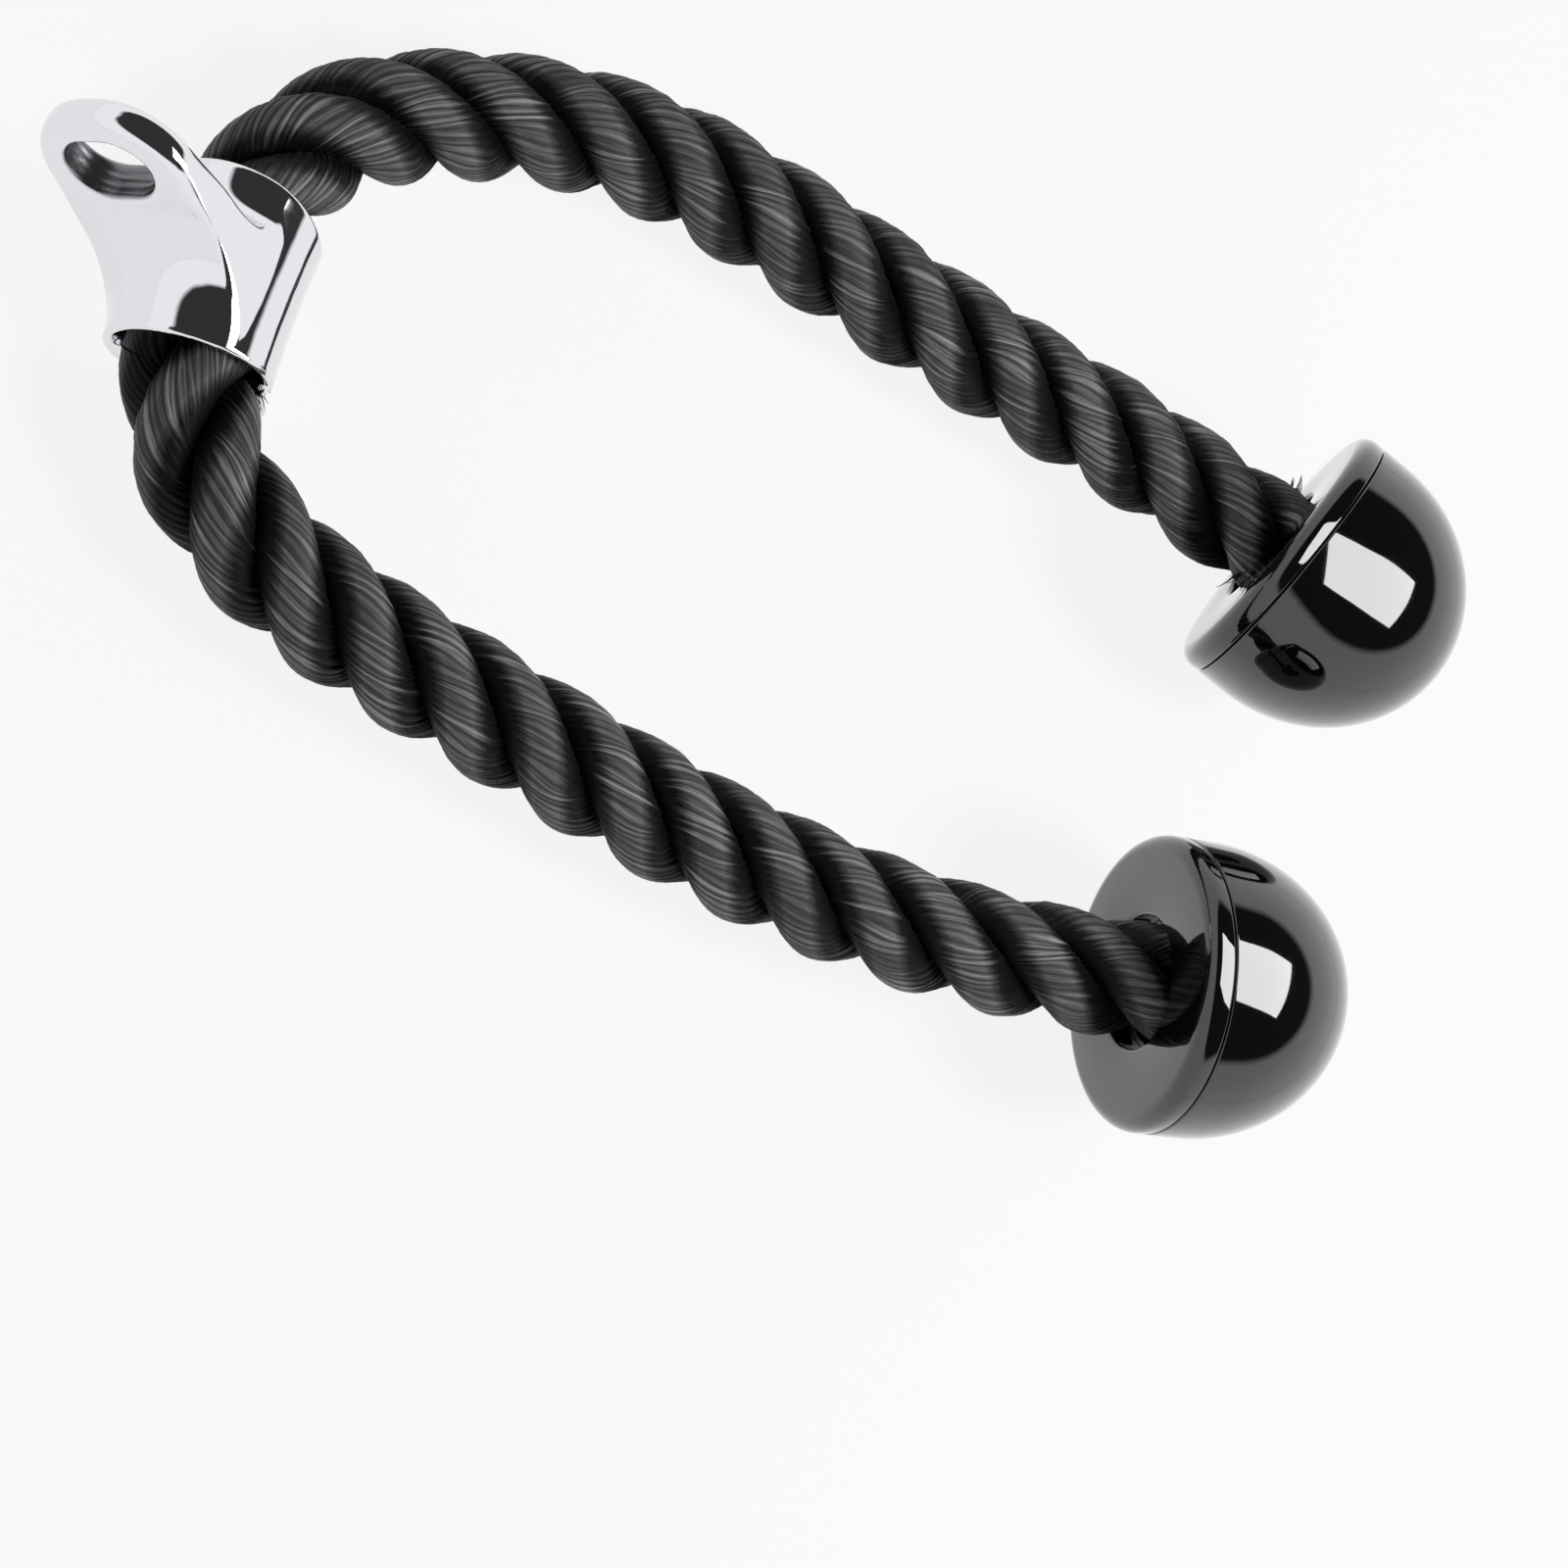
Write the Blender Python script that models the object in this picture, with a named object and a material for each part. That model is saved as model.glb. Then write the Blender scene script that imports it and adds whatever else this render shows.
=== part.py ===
"""Pull-down rope for a cable machine: a three-strand rope bent in a U, a cast centre clamp with an
eye for a snap hook, and a hollow ball at each end. It lies on a table, in metres, +Z up."""

import math

import bmesh
import bpy
import numpy as np
from mathutils import Matrix, Vector

# Rope
ROPE_D = 0.0280
STRAND_SHARE = 0.4286
STRAND_COUNT = 3
STEPS_PER_TURN = 12
STRAND_STUB = 0.0005
CORE_INSET = 0.0007
BEND_LENGTH = 0.0690

# Gaps between pieces that touch, and between pieces that turn on each other
TOUCH_GAP = 0.0003
ROPE_HOLE_CLEARANCE = 0.0013

# Centre clamp: a waisted barrel round the rope, and an eye that leans out of the rope's plane
CLAMP_WALL = 0.0026
CLAMP_RIM_RISE = 0.0006
CLAMP_LENGTH = 0.0354
CLAMP_RIM_ROUND = 0.0010
CLAMP_MOUTH_FLARE = 0.0018
CLAMP_MOUTH_DEPTH = 0.0065
CLAMP_SADDLE_SHARE = 0.125
EYE_LEAN_DEG = 27.2
EYE_SHIFT = 0.0013
EYE_TILT_SHARE = 0.156
EYE_RISE = 0.0365
EYE_WIDTH = 0.0338
EYE_BASE_INSET = 0.0006
EYE_THICKNESS = 0.0077
EYE_DRAFT_SHARE = 0.045
EYE_CORNER_R = 0.0154
EYE_EDGE_ROUND = 0.0030
EYE_BASE_EDGE_ROUND = 0.0010
EYE_FRONT_FILLET_RISE = 0.0130
EYE_FRONT_FILLET = 0.0150
EYE_BACK_FILLET_RISE = 0.0080
EYE_BACK_FILLET = 0.0080
EYE_ROOT_INSET = 0.0015
EYE_ROOT_DEPTH = 0.0030
HOLE_RISE_FROM_BARREL = 0.0239
HOLE_WIDTH = 0.0192
HOLE_RISE = 0.0150
HOLE_CHAMFER = 0.0007

# Ball: a dome pushed onto the spigot of an end plate
BALL_D = 0.0680
PLATE_THICKNESS = 0.0060
PLATE_EDGE_ROUND = 0.0022
PLATE_HOLE_CHAMFER = 0.0010
SPIGOT_LENGTH = 0.0045
SPIGOT_WALL = 0.0030
DOME_WALL = 0.0040
DOME_SKIRT = 0.0075
DOME_RISE = 0.0370

# Rope end inside the ball: a ferrule crimped on the rope, and a washer that bears on the plate
WASHER_CLEARANCE = 0.0027
WASHER_THICKNESS = 0.0025
FERRULE_WALL = 0.0035
FERRULE_LENGTH = 0.0200
FERRULE_EDGE_ROUND = 0.0008

# Overrun of a cutter past the face that it cuts
OVERRUN = 0.0020

# Sizes of the strands and the clamp that follow from those above
STRAND_D = ROPE_D * STRAND_SHARE
CORE_LENGTH = CLAMP_LENGTH - 2 * CORE_INSET
CLAMP_WAIST_R = ROPE_D / 2 + TOUCH_GAP + CLAMP_WALL
CLAMP_RIM_R = CLAMP_WAIST_R + CLAMP_RIM_RISE
EYE_TOP = CLAMP_WAIST_R + EYE_RISE
HOLE_HEIGHT = CLAMP_WAIST_R + HOLE_RISE_FROM_BARREL

# Where the clamp stands in the part's frame; its rims rest on the table
CLAMP_X = -0.1298
CLAMP_Y = -0.0176
CLAMP_Z = CLAMP_RIM_R

# The rope's route from each mouth of the clamp to its end, measured from the clamp's middle
RIGHT_ROUTE = [
    (0.0000, -0.0060, 0.0000),
    (0.0000, -0.0120, 0.0000),
    (0.0008, -0.0189, 0.0000),
    (0.0038, -0.0263, 0.0000),
    (0.0092, -0.0335, 0.0000),
    (0.0162, -0.0392, 0.0000),
    (0.0249, -0.0439, 0.0000),
    (0.0354, -0.0474, 0.0000),
    (0.0471, -0.0496, 0.0001),
    (0.0611, -0.0510, 0.0002),
    (0.0800, -0.0519, 0.0005),
    (0.1020, -0.0530, 0.0010),
    (0.1254, -0.0541, 0.0018),
    (0.1490, -0.0546, 0.0029),
    (0.1740, -0.0539, 0.0046),
    (0.1980, -0.0518, 0.0069),
    (0.2190, -0.0486, 0.0094),
    (0.2400, -0.0441, 0.0124),
    (0.2582, -0.0398, 0.0154),
    (0.2653, -0.0378, 0.0169),
    (0.2748, -0.0352, 0.0189),
    (0.2857, -0.0322, 0.0212),
]
LEFT_ROUTE = [
    (0.0000, 0.0060, 0.0000),
    (0.0000, 0.0120, 0.0000),
    (0.0005, 0.0190, 0.0000),
    (0.0022, 0.0268, 0.0000),
    (0.0057, 0.0351, 0.0000),
    (0.0105, 0.0426, 0.0000),
    (0.0174, 0.0499, 0.0000),
    (0.0260, 0.0567, 0.0000),
    (0.0361, 0.0631, 0.0000),
    (0.0485, 0.0697, 0.0000),
    (0.0633, 0.0758, 0.0000),
    (0.0768, 0.0795, 0.0000),
    (0.0916, 0.0820, 0.0000),
    (0.1093, 0.0830, 0.0001),
    (0.1300, 0.0833, 0.0002),
    (0.1534, 0.0831, 0.0006),
    (0.1760, 0.0829, 0.0014),
    (0.1984, 0.0827, 0.0027),
    (0.2190, 0.0822, 0.0049),
    (0.2377, 0.0804, 0.0076),
    (0.2510, 0.0784, 0.0103),
    (0.2625, 0.0758, 0.0138),
    (0.2691, 0.0733, 0.0164),
    (0.2779, 0.0700, 0.0198),
    (0.2881, 0.0662, 0.0238),
]
ROUTE_STEP = 0.0010

# Turns of the lay along the rope, by length from the clamp's middle; the lay is a little uneven
LAY_TURNS = [
    (-0.3400, -4.59),
    (-0.2900, -3.87),
    (-0.2600, -3.45),
    (-0.2200, -2.88),
    (-0.1750, -2.26),
    (-0.1300, -1.60),
    (-0.0900, -1.00),
    (-0.0520, -0.39),
    (-0.0170, 0.16),
    (0.0170, 0.71),
    (0.0510, 1.23),
    (0.0910, 1.88),
    (0.1340, 2.54),
    (0.1790, 3.22),
    (0.2220, 3.86),
    (0.2700, 4.54),
    (0.3210, 5.28),
]

# Where each arm's swing axis stands, measured from the clamp's middle
RIGHT_SWING_AT = (0.0090, -0.0385, 0.0)
LEFT_SWING_AT = (0.0140, 0.0540, 0.0)

BLACK_NYLON = (0.022, 0.022, 0.024)
CHROME = (0.78, 0.78, 0.80)
GLOSS_BLACK = (0.012, 0.012, 0.013)
ZINC = (0.45, 0.46, 0.48)


def clear_scene():
    for old in list(bpy.data.objects):
        bpy.data.objects.remove(old, do_unlink=True)


def material(name, colour, roughness, metallic):
    made = bpy.data.materials.new(name)
    made.use_nodes = True
    shader = made.node_tree.nodes["Principled BSDF"]
    shader.inputs["Base Color"].default_value = (*colour, 1)
    shader.inputs["Roughness"].default_value = roughness
    shader.inputs["Metallic"].default_value = metallic
    made.diffuse_color = (*colour, 1)
    return made


def add_object(name, data, parent=None, finish=None):
    made = bpy.data.objects.new(name, data)
    bpy.context.scene.collection.objects.link(made)
    made.parent = parent
    if finish is not None:
        data.materials.append(finish)
    return made


def add_empty(name, matrix, parent=None):
    """An empty whose place is given in the part's frame; children then use its own axes."""
    made = add_object(name, None, parent)
    placed = parent.matrix_world.inverted() @ matrix if parent else matrix
    made.matrix_local = placed
    bpy.context.view_layer.update()
    return made


def shade_round(mesh, angle_deg=35):
    mesh.shade_smooth()
    mesh.set_sharp_from_angle(angle=math.radians(angle_deg))


def arc(centre, radii, from_deg, to_deg, count):
    """Points of an elliptic arc, as pairs."""
    turns = np.radians(np.linspace(from_deg, to_deg, count))
    return [
        (centre[0] + radii[0] * math.cos(a), centre[1] + radii[1] * math.sin(a))
        for a in turns
    ]


def turned_mesh(name, profile, steps):
    """Spins a closed loop of (radius, height) pairs round Z; a radius of 0 lies on the axis."""
    shape = bmesh.new()
    ring = [shape.verts.new((radius, 0, height)) for radius, height in profile]
    edges = [shape.edges.new((a, b)) for a, b in zip(ring, ring[1:] + ring[:1])]
    bmesh.ops.spin(
        shape,
        geom=ring + edges,
        axis=(0, 0, 1),
        cent=(0, 0, 0),
        angle=math.tau,
        steps=steps,
        use_merge=True,
    )
    bmesh.ops.remove_doubles(shape, verts=shape.verts, dist=TOUCH_GAP / 30)
    on_axis = [e for e in shape.edges if not e.link_faces]
    bmesh.ops.delete(shape, geom=on_axis, context="EDGES")
    bmesh.ops.recalc_face_normals(shape, faces=shape.faces)
    mesh = bpy.data.meshes.new(name)
    shape.to_mesh(mesh)
    shape.free()
    shade_round(mesh)
    return mesh


def lofted_mesh(name, sections):
    """Joins equal closed sections in order and closes both ends."""
    shape = bmesh.new()
    rings = [[shape.verts.new(point) for point in section] for section in sections]
    for low, high in zip(rings, rings[1:]):
        count = len(low)
        for k in range(count):
            after = (k + 1) % count
            shape.faces.new((low[k], low[after], high[after], high[k]))
    shape.faces.new(rings[0])
    shape.faces.new(rings[-1])
    bmesh.ops.recalc_face_normals(shape, faces=shape.faces)
    mesh = bpy.data.meshes.new(name)
    shape.to_mesh(mesh)
    shape.free()
    shade_round(mesh)
    return mesh


def cut_or_join(target, tool, operation):
    """Adds an exact Boolean, with the tool kept as a hidden guide."""
    change = target.modifiers.new(tool.name, "BOOLEAN")
    change.operation = operation
    change.solver = "EXACT"
    change.object = tool
    tool.hide_render = True
    tool.display_type = "WIRE"


def natural_spline(at, values, where):
    """Reads a natural cubic spline through rows of values at places along one line."""
    gap = np.diff(at)
    count = len(at)
    system = np.eye(count)
    right = np.zeros(values.shape)
    slope = np.diff(values, axis=0) / gap[:, None]
    for k in range(1, count - 1):
        system[k, k - 1 : k + 2] = gap[k - 1], 2 * (gap[k - 1] + gap[k]), gap[k]
        right[k] = 6 * (slope[k] - slope[k - 1])
    bend = np.linalg.solve(system, right)
    span = np.clip(np.searchsorted(at, where) - 1, 0, count - 2)
    wide = gap[span][:, None]
    past = (where - at[span])[:, None]
    left = wide - past
    return (
        (bend[span] * left**3 + bend[span + 1] * past**3) / (6 * wide)
        + (values[span] / wide - bend[span] * wide / 6) * left
        + (values[span + 1] / wide - bend[span + 1] * wide / 6) * past
    )


def running_length(points):
    steps = np.linalg.norm(np.diff(points, axis=0), axis=1)
    return np.concatenate([[0], np.cumsum(steps)])


class RopeRoute:
    """The rope's centre line, by its length from the clamp's middle; it runs from left to right."""

    def __init__(self):
        middle = Vector((CLAMP_X, CLAMP_Y, CLAMP_Z))
        whole = LEFT_ROUTE[::-1] + RIGHT_ROUTE
        placed = np.array([middle + Vector(point) for point in whole])
        at = running_length(placed)
        fine = np.linspace(0, at[-1], 1 + round(at[-1] / ROUTE_STEP))
        self.points = natural_spline(at, placed, fine)
        length = running_length(self.points)
        nearest = np.linalg.norm(self.points - np.array(middle), axis=1).argmin()
        self.length = length - length[nearest]
        self.tangents = np.gradient(self.points, self.length, axis=0)
        self.tangents /= np.linalg.norm(self.tangents, axis=1)[:, None]
        side = np.cross(self.tangents[0], (0, 0, 1))
        sides = []
        for tangent in self.tangents:
            side = side - tangent * np.dot(side, tangent)
            side /= np.linalg.norm(side)
            sides.append(side)
        self.sides = np.array(sides)

    def read(self, values, at):
        return np.stack([np.interp(at, self.length, values[:, k]) for k in range(3)], 1)

    def turns(self, at):
        lay = np.array(LAY_TURNS)
        return natural_spline(lay[:, 0], lay[:, 1:], at)[:, 0]

    def point(self, at):
        return Vector(self.read(self.points, np.atleast_1d(at))[0])

    def end_frame(self, at, end):
        """A matrix where the rope enters its ball, with Z along its straight end."""
        ahead = (self.point(end) - self.point(at)).normalized()
        turn = ahead.to_track_quat("Z", "Y").to_matrix().to_4x4()
        return Matrix.Translation(self.point(at)) @ turn

    def strand(self, number, start, end):
        """Centre of one strand, a right-handed helix about the route, with a short run at each end."""
        from_turn, to_turn = self.turns(np.array([start, end]))
        steps = max(2, round((to_turn - from_turn) * STEPS_PER_TURN))
        inner = np.linspace(start, end, steps + 1)[1:-1]
        at = np.array([start, start + STRAND_STUB, *inner, end - STRAND_STUB, end])
        tangents = self.read(self.tangents, at)
        sides = self.read(self.sides, at)
        ups = np.cross(tangents, sides)
        phase = math.tau * (self.turns(at) + number / STRAND_COUNT)
        reach = (ROPE_D - STRAND_D) / 2
        return self.read(self.points, at) + reach * (
            np.cos(phase)[:, None] * sides + np.sin(phase)[:, None] * ups
        )


def subdivided(line, count=6):
    """Points along a broken line, with each of its runs cut in equal shares."""
    shares = np.arange(count)[:, None] / count
    runs = [a + (b - a) * shares for a, b in zip(line, line[1:])]
    return np.concatenate([*runs, line[-1:]])


def strand_radii(points, others, count=6):
    """Share of the strand's full radius, less where its neighbours press in inside a bend."""
    near = np.concatenate([subdivided(line) for line in others])
    own = subdivided(points, count)
    room = np.array([np.linalg.norm(near - point, axis=1).min() for point in own])
    shares = []
    for k in range(len(points)):
        low, high = max(0, (k - 1) * count), (k + 1) * count + 1
        shares.append(min(STRAND_D, room[low:high].min() - TOUCH_GAP) / STRAND_D)
    return shares


def strand_object(name, route, number, span, parent, finish):
    """One strand over one stretch of the rope, as a curve with a round bevel."""
    start, end = span
    points = route.strand(number, start, end)
    low = max(start - ROPE_D, route.length[0])
    high = min(end + ROPE_D, route.length[-1])
    others = [
        route.strand(k, low, high) for k in range(STRAND_COUNT) if k != number
    ]
    radii = strand_radii(points, others)
    curve = bpy.data.curves.new(name, "CURVE")
    curve.dimensions = "3D"
    curve.bevel_depth = STRAND_D / 2
    curve.bevel_resolution = 2
    curve.use_fill_caps = True
    spline = curve.splines.new("POLY")
    spline.points.add(len(points) - 1)
    origin = parent.matrix_world.translation if parent else Vector((0, 0, 0))
    for target, point, radius in zip(spline.points, points, radii):
        target.co = (*(Vector(point) - origin), 1)
        target.radius = radius
    return add_object(name, curve, parent, finish)


def rope_pieces(route, empties, finish):
    """Three strands in the clamp, three in each bend and three in each hand grip."""
    half = CORE_LENGTH / 2
    bend_end = half + BEND_LENGTH
    for number in range(STRAND_COUNT):
        label = f"strand_{number + 1}"
        strand_object(f"clamp_{label}", route, number, (-half, half), None, finish)
        for side, sign, end in (
            ("left", -1, route.length[0]),
            ("right", 1, route.length[-1]),
        ):
            bend = sorted((sign * (half + TOUCH_GAP), sign * bend_end))
            grip = sorted((sign * (bend_end + TOUCH_GAP), end))
            swing, lift = empties[side]
            strand_object(f"{side}_bend_{label}", route, number, bend, swing, finish)
            strand_object(f"{side}_grip_{label}", route, number, grip, lift, finish)


def barrel_profile():
    """Outline of the barrel, solid to its axis: a waist in the middle and rounded rims."""
    half = CLAMP_LENGTH / 2
    rim = CLAMP_RIM_R
    round_r = CLAMP_RIM_ROUND
    side = [
        (
            rim - CLAMP_RIM_RISE * math.cos(share * math.pi / 2) ** 2,
            share * (half - round_r),
        )
        for share in np.linspace(-1, 1, 9)
    ]
    low = arc((rim - round_r, -half + round_r), (round_r, round_r), -90, -30, 3)
    high = arc((rim - round_r, half - round_r), (round_r, round_r), 30, 90, 3)
    return [(0, -half), *low, *side, *high, (0, half)]


def eye_middle(height):
    """Where the eye's middle plane stands along the bore; the eye tilts a little to the left."""
    return EYE_SHIFT + EYE_TILT_SHARE * (height - CLAMP_WAIST_R)


def eye_half(height):
    """Half of the eye's thickness, which a casting's draft takes down towards the top."""
    return EYE_THICKNESS / 2 + EYE_DRAFT_SHARE * (HOLE_HEIGHT - height)


def fillet_reach(reach, rise, up):
    """How far an elliptic fillet stands out at a height above its foot."""
    left = max(1 - up / rise, 0)
    return reach * (1 - math.sqrt(1 - left**2))


def eye_section(height, half_width, edge, fillets=(0, 0), inset=0, drop=0):
    """A rounded rectangle across the eye; it may drop at its sides to follow the barrel."""
    depth = eye_half(height) - inset
    share = edge / eye_half(height)
    across_r = edge * half_width / (EYE_WIDTH / 2)
    flat = half_width - across_r
    ring = []
    for way, fillet, turn in ((-1, fillets[0], -90), (1, fillets[1], 90)):
        reach = depth + fillet
        radii = (across_r, reach * share)
        level = way * (reach - radii[1])
        side = -1 if way > 0 else 1
        ring += arc((-side * flat, level), radii, turn - 90, turn, 4)
        ring += [(side * x, way * reach) for x in np.linspace(-flat, flat, 7)[1:-1]]
        ring += arc((side * flat, level), radii, turn, turn + 90, 4)
    seat = CLAMP_WAIST_R - TOUCH_GAP
    falls = [seat - math.sqrt(max(seat**2 - x**2, 0)) for x, y in ring]
    return [
        (x, y + eye_middle(height), height - drop * fall)
        for (x, y), fall in zip(ring, falls)
    ]


def eye_sections():
    """Levels of the eye, from inside the barrel up its two fillets to its rounded top."""
    base = CLAMP_WAIST_R - TOUCH_GAP
    wide, base_wide = EYE_WIDTH / 2, CLAMP_WAIST_R - EYE_BASE_INSET
    start = EYE_TOP - EYE_CORNER_R
    sections = [
        eye_section(
            base - EYE_ROOT_DEPTH,
            base_wide - EYE_ROOT_INSET,
            EYE_BASE_EDGE_ROUND,
            (EYE_FRONT_FILLET, EYE_BACK_FILLET),
            0,
            1,
        )
    ]
    for turn in np.radians(np.linspace(0, 90, 9)):
        up = EYE_FRONT_FILLET_RISE * (1 - math.cos(turn))
        share = up / (start - base)
        fillets = (
            fillet_reach(EYE_FRONT_FILLET, EYE_FRONT_FILLET_RISE, up),
            fillet_reach(EYE_BACK_FILLET, EYE_BACK_FILLET_RISE, up),
        )
        sections.append(
            eye_section(
                base + up,
                base_wide + (wide - base_wide) * share,
                EYE_BASE_EDGE_ROUND + (EYE_EDGE_ROUND - EYE_BASE_EDGE_ROUND) * share,
                fillets,
                0,
                math.cos(turn),
            )
        )
    for turn in np.radians((0, 20, 38, 54, 68, 78, 85, 90)):
        height = start + EYE_CORNER_R * math.sin(turn)
        width = wide - EYE_CORNER_R * (1 - math.cos(turn))
        over = max(height - (EYE_TOP - EYE_EDGE_ROUND), 0)
        inset = EYE_EDGE_ROUND - math.sqrt(max(EYE_EDGE_ROUND**2 - over**2, 0))
        sections.append(eye_section(height, width, EYE_EDGE_ROUND, (0, 0), inset))
    return sections


def hole_sections():
    """The snap hook's hole, with a chamfer at both faces of the eye."""
    levels = ((1, OVERRUN, HOLE_CHAMFER + OVERRUN), (1, -HOLE_CHAMFER, 0))
    sections = []
    for way, past, grow in levels + tuple((-w, p, g) for w, p, g in levels[::-1]):
        radius = HOLE_RISE / 2 + grow
        shift = (HOLE_WIDTH - HOLE_RISE) / 2
        ends = arc((shift, HOLE_HEIGHT), (radius, radius), -90, 90, 9)
        ends += arc((-shift, HOLE_HEIGHT), (radius, radius), 90, 270, 9)
        sections.append(
            [(x, eye_middle(z) + way * (eye_half(z) + past), z) for x, z in ends]
        )
    return sections


def bore_profile():
    """The rope's bore, straight in the middle, with a bell mouth at both ends."""
    bore_r = ROPE_D / 2 + TOUCH_GAP
    rim = CLAMP_LENGTH / 2 * (1 + CLAMP_SADDLE_SHARE)
    inner = rim - CLAMP_MOUTH_DEPTH
    bell = [
        (bore_r + CLAMP_MOUTH_FLARE * share**2, inner + CLAMP_MOUTH_DEPTH * share)
        for share in np.linspace(0, 1, 5)
    ]
    bell.append((bore_r + CLAMP_MOUTH_FLARE + OVERRUN, rim + OVERRUN))
    lower = [(radius, -height) for radius, height in bell[::-1]]
    return [(0, -rim - OVERRUN), *lower, *bell, (0, rim + OVERRUN)]


def clamp_piece(finish):
    """The casting: barrel and eye joined, then bored for the rope and pierced for the hook."""
    lean = Matrix.Rotation(math.radians(EYE_LEAN_DEG - 90), 4, "Y")
    place = Matrix.Translation((CLAMP_X, CLAMP_Y, CLAMP_Z)) @ lean
    along_rope = Matrix.Rotation(math.radians(-90), 4, "X")
    barrel = turned_mesh("centre_clamp", barrel_profile(), 44)
    barrel.transform(along_rope)
    for vertex in barrel.vertices:
        vertex.co.y *= 1 + CLAMP_SADDLE_SHARE * vertex.co.z / CLAMP_RIM_R
    bore = turned_mesh("bore_guide", bore_profile(), 36)
    bore.transform(along_rope)
    clamp = add_object("centre_clamp", barrel, None, finish)
    clamp.matrix_world = place
    for mesh, operation in (
        (lofted_mesh("eye_guide", eye_sections()), "UNION"),
        (bore, "DIFFERENCE"),
        (lofted_mesh("hole_guide", hole_sections()), "DIFFERENCE"),
    ):
        guide = add_object(mesh.name, mesh)
        guide.matrix_world = place
        cut_or_join(clamp, guide, operation)


def plate_profile():
    """End plate: a rounded disc with the rope's hole and a spigot for the dome."""
    outer = BALL_D / 2
    hole = ROPE_D / 2 + ROPE_HOLE_CLEARANCE
    edge = PLATE_EDGE_ROUND
    spigot = outer - DOME_WALL - TOUCH_GAP
    top = PLATE_THICKNESS + SPIGOT_LENGTH
    rim = arc((outer - edge, edge), (edge, edge), -90, 0, 5)
    return [
        (hole, PLATE_HOLE_CHAMFER),
        (hole + PLATE_HOLE_CHAMFER, 0),
        *rim,
        (outer, PLATE_THICKNESS),
        (spigot, PLATE_THICKNESS),
        (spigot, top),
        (spigot - SPIGOT_WALL, top),
        (spigot - SPIGOT_WALL, PLATE_THICKNESS),
        (hole, PLATE_THICKNESS),
    ]


def dome_profile():
    """Dome: an even shell, open at its mouth."""
    outer = BALL_D / 2
    inner = outer - DOME_WALL
    mouth = PLATE_THICKNESS + TOUCH_GAP
    shoulder = PLATE_THICKNESS + DOME_SKIRT
    outside = arc((0, shoulder), (outer, DOME_RISE), 0, 90, 11)[:-1]
    inside = arc((0, shoulder), (inner, DOME_RISE - DOME_WALL), 90, 0, 9)[1:]
    return [
        (inner, mouth),
        (outer, mouth),
        *outside,
        (0, shoulder + DOME_RISE),
        (0, shoulder + DOME_RISE - DOME_WALL),
        *inside,
    ]


def washer_profile():
    """Washer: a flat ring that lies inside the plate's spigot."""
    inner = ROPE_D / 2 + TOUCH_GAP
    outer = BALL_D / 2 - DOME_WALL - TOUCH_GAP - SPIGOT_WALL - WASHER_CLEARANCE
    low = PLATE_THICKNESS + TOUCH_GAP
    high = low + WASHER_THICKNESS
    return [(inner, low), (outer, low), (outer, high), (inner, high)]


def ferrule_profile():
    inner = ROPE_D / 2 + TOUCH_GAP
    outer = inner + FERRULE_WALL
    low = PLATE_THICKNESS + WASHER_THICKNESS + 2 * TOUCH_GAP
    high = low + FERRULE_LENGTH
    edge = FERRULE_EDGE_ROUND
    return [
        (inner, low),
        (outer - edge, low),
        (outer, low + edge),
        (outer, high - edge),
        (outer - edge, high),
        (inner, high),
    ]


def end_pieces(side, lift, mouth, black, zinc):
    """The ball turns about the rope's end; the ferrule and washer stay with the rope."""
    spin = add_empty(f"{side}_spin_axis", mouth, lift)
    fixed = add_empty(f"{side}_rope_end", mouth, lift)
    add_object(f"{side}_ball_plate", turned_mesh("plate", plate_profile(), 36), spin, black)
    add_object(f"{side}_ball_dome", turned_mesh("dome", dome_profile(), 36), spin, black)
    add_object(f"{side}_end_washer", turned_mesh("washer", washer_profile(), 28), fixed, zinc)
    add_object(f"{side}_end_ferrule", turned_mesh("ferrule", ferrule_profile(), 28), fixed, zinc)


def build():
    clear_scene()
    nylon = material("black_nylon", BLACK_NYLON, 0.55, 0)
    chrome = material("chrome_plate", CHROME, 0.06, 1)
    black = material("gloss_black", GLOSS_BLACK, 0.12, 0)
    zinc = material("zinc_plate", ZINC, 0.35, 1)

    route = RopeRoute()
    middle = Vector((CLAMP_X, CLAMP_Y, CLAMP_Z))
    tail = PLATE_THICKNESS + WASHER_THICKNESS + FERRULE_LENGTH + 2 * TOUCH_GAP
    bend_end = CORE_LENGTH / 2 + BEND_LENGTH
    empties = {}
    for side, sign, end, swing_at in (
        ("left", -1, route.length[0], LEFT_SWING_AT),
        ("right", 1, route.length[-1], RIGHT_SWING_AT),
    ):
        pivot = Matrix.Translation(middle + Vector(swing_at))
        boundary = Matrix.Translation(route.point(sign * bend_end))
        swing = add_empty(f"{side}_swing_axis", pivot)
        lift = add_empty(f"{side}_lift_axis", boundary, swing)
        empties[side] = (swing, lift)
        mouth = route.end_frame(end - sign * tail, end)
        end_pieces(side, lift, mouth, black, zinc)
    rope_pieces(route, empties, nylon)
    clamp_piece(chrome)


build()
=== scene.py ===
import math
import bpy
import numpy as np
from mathutils import Matrix


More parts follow.
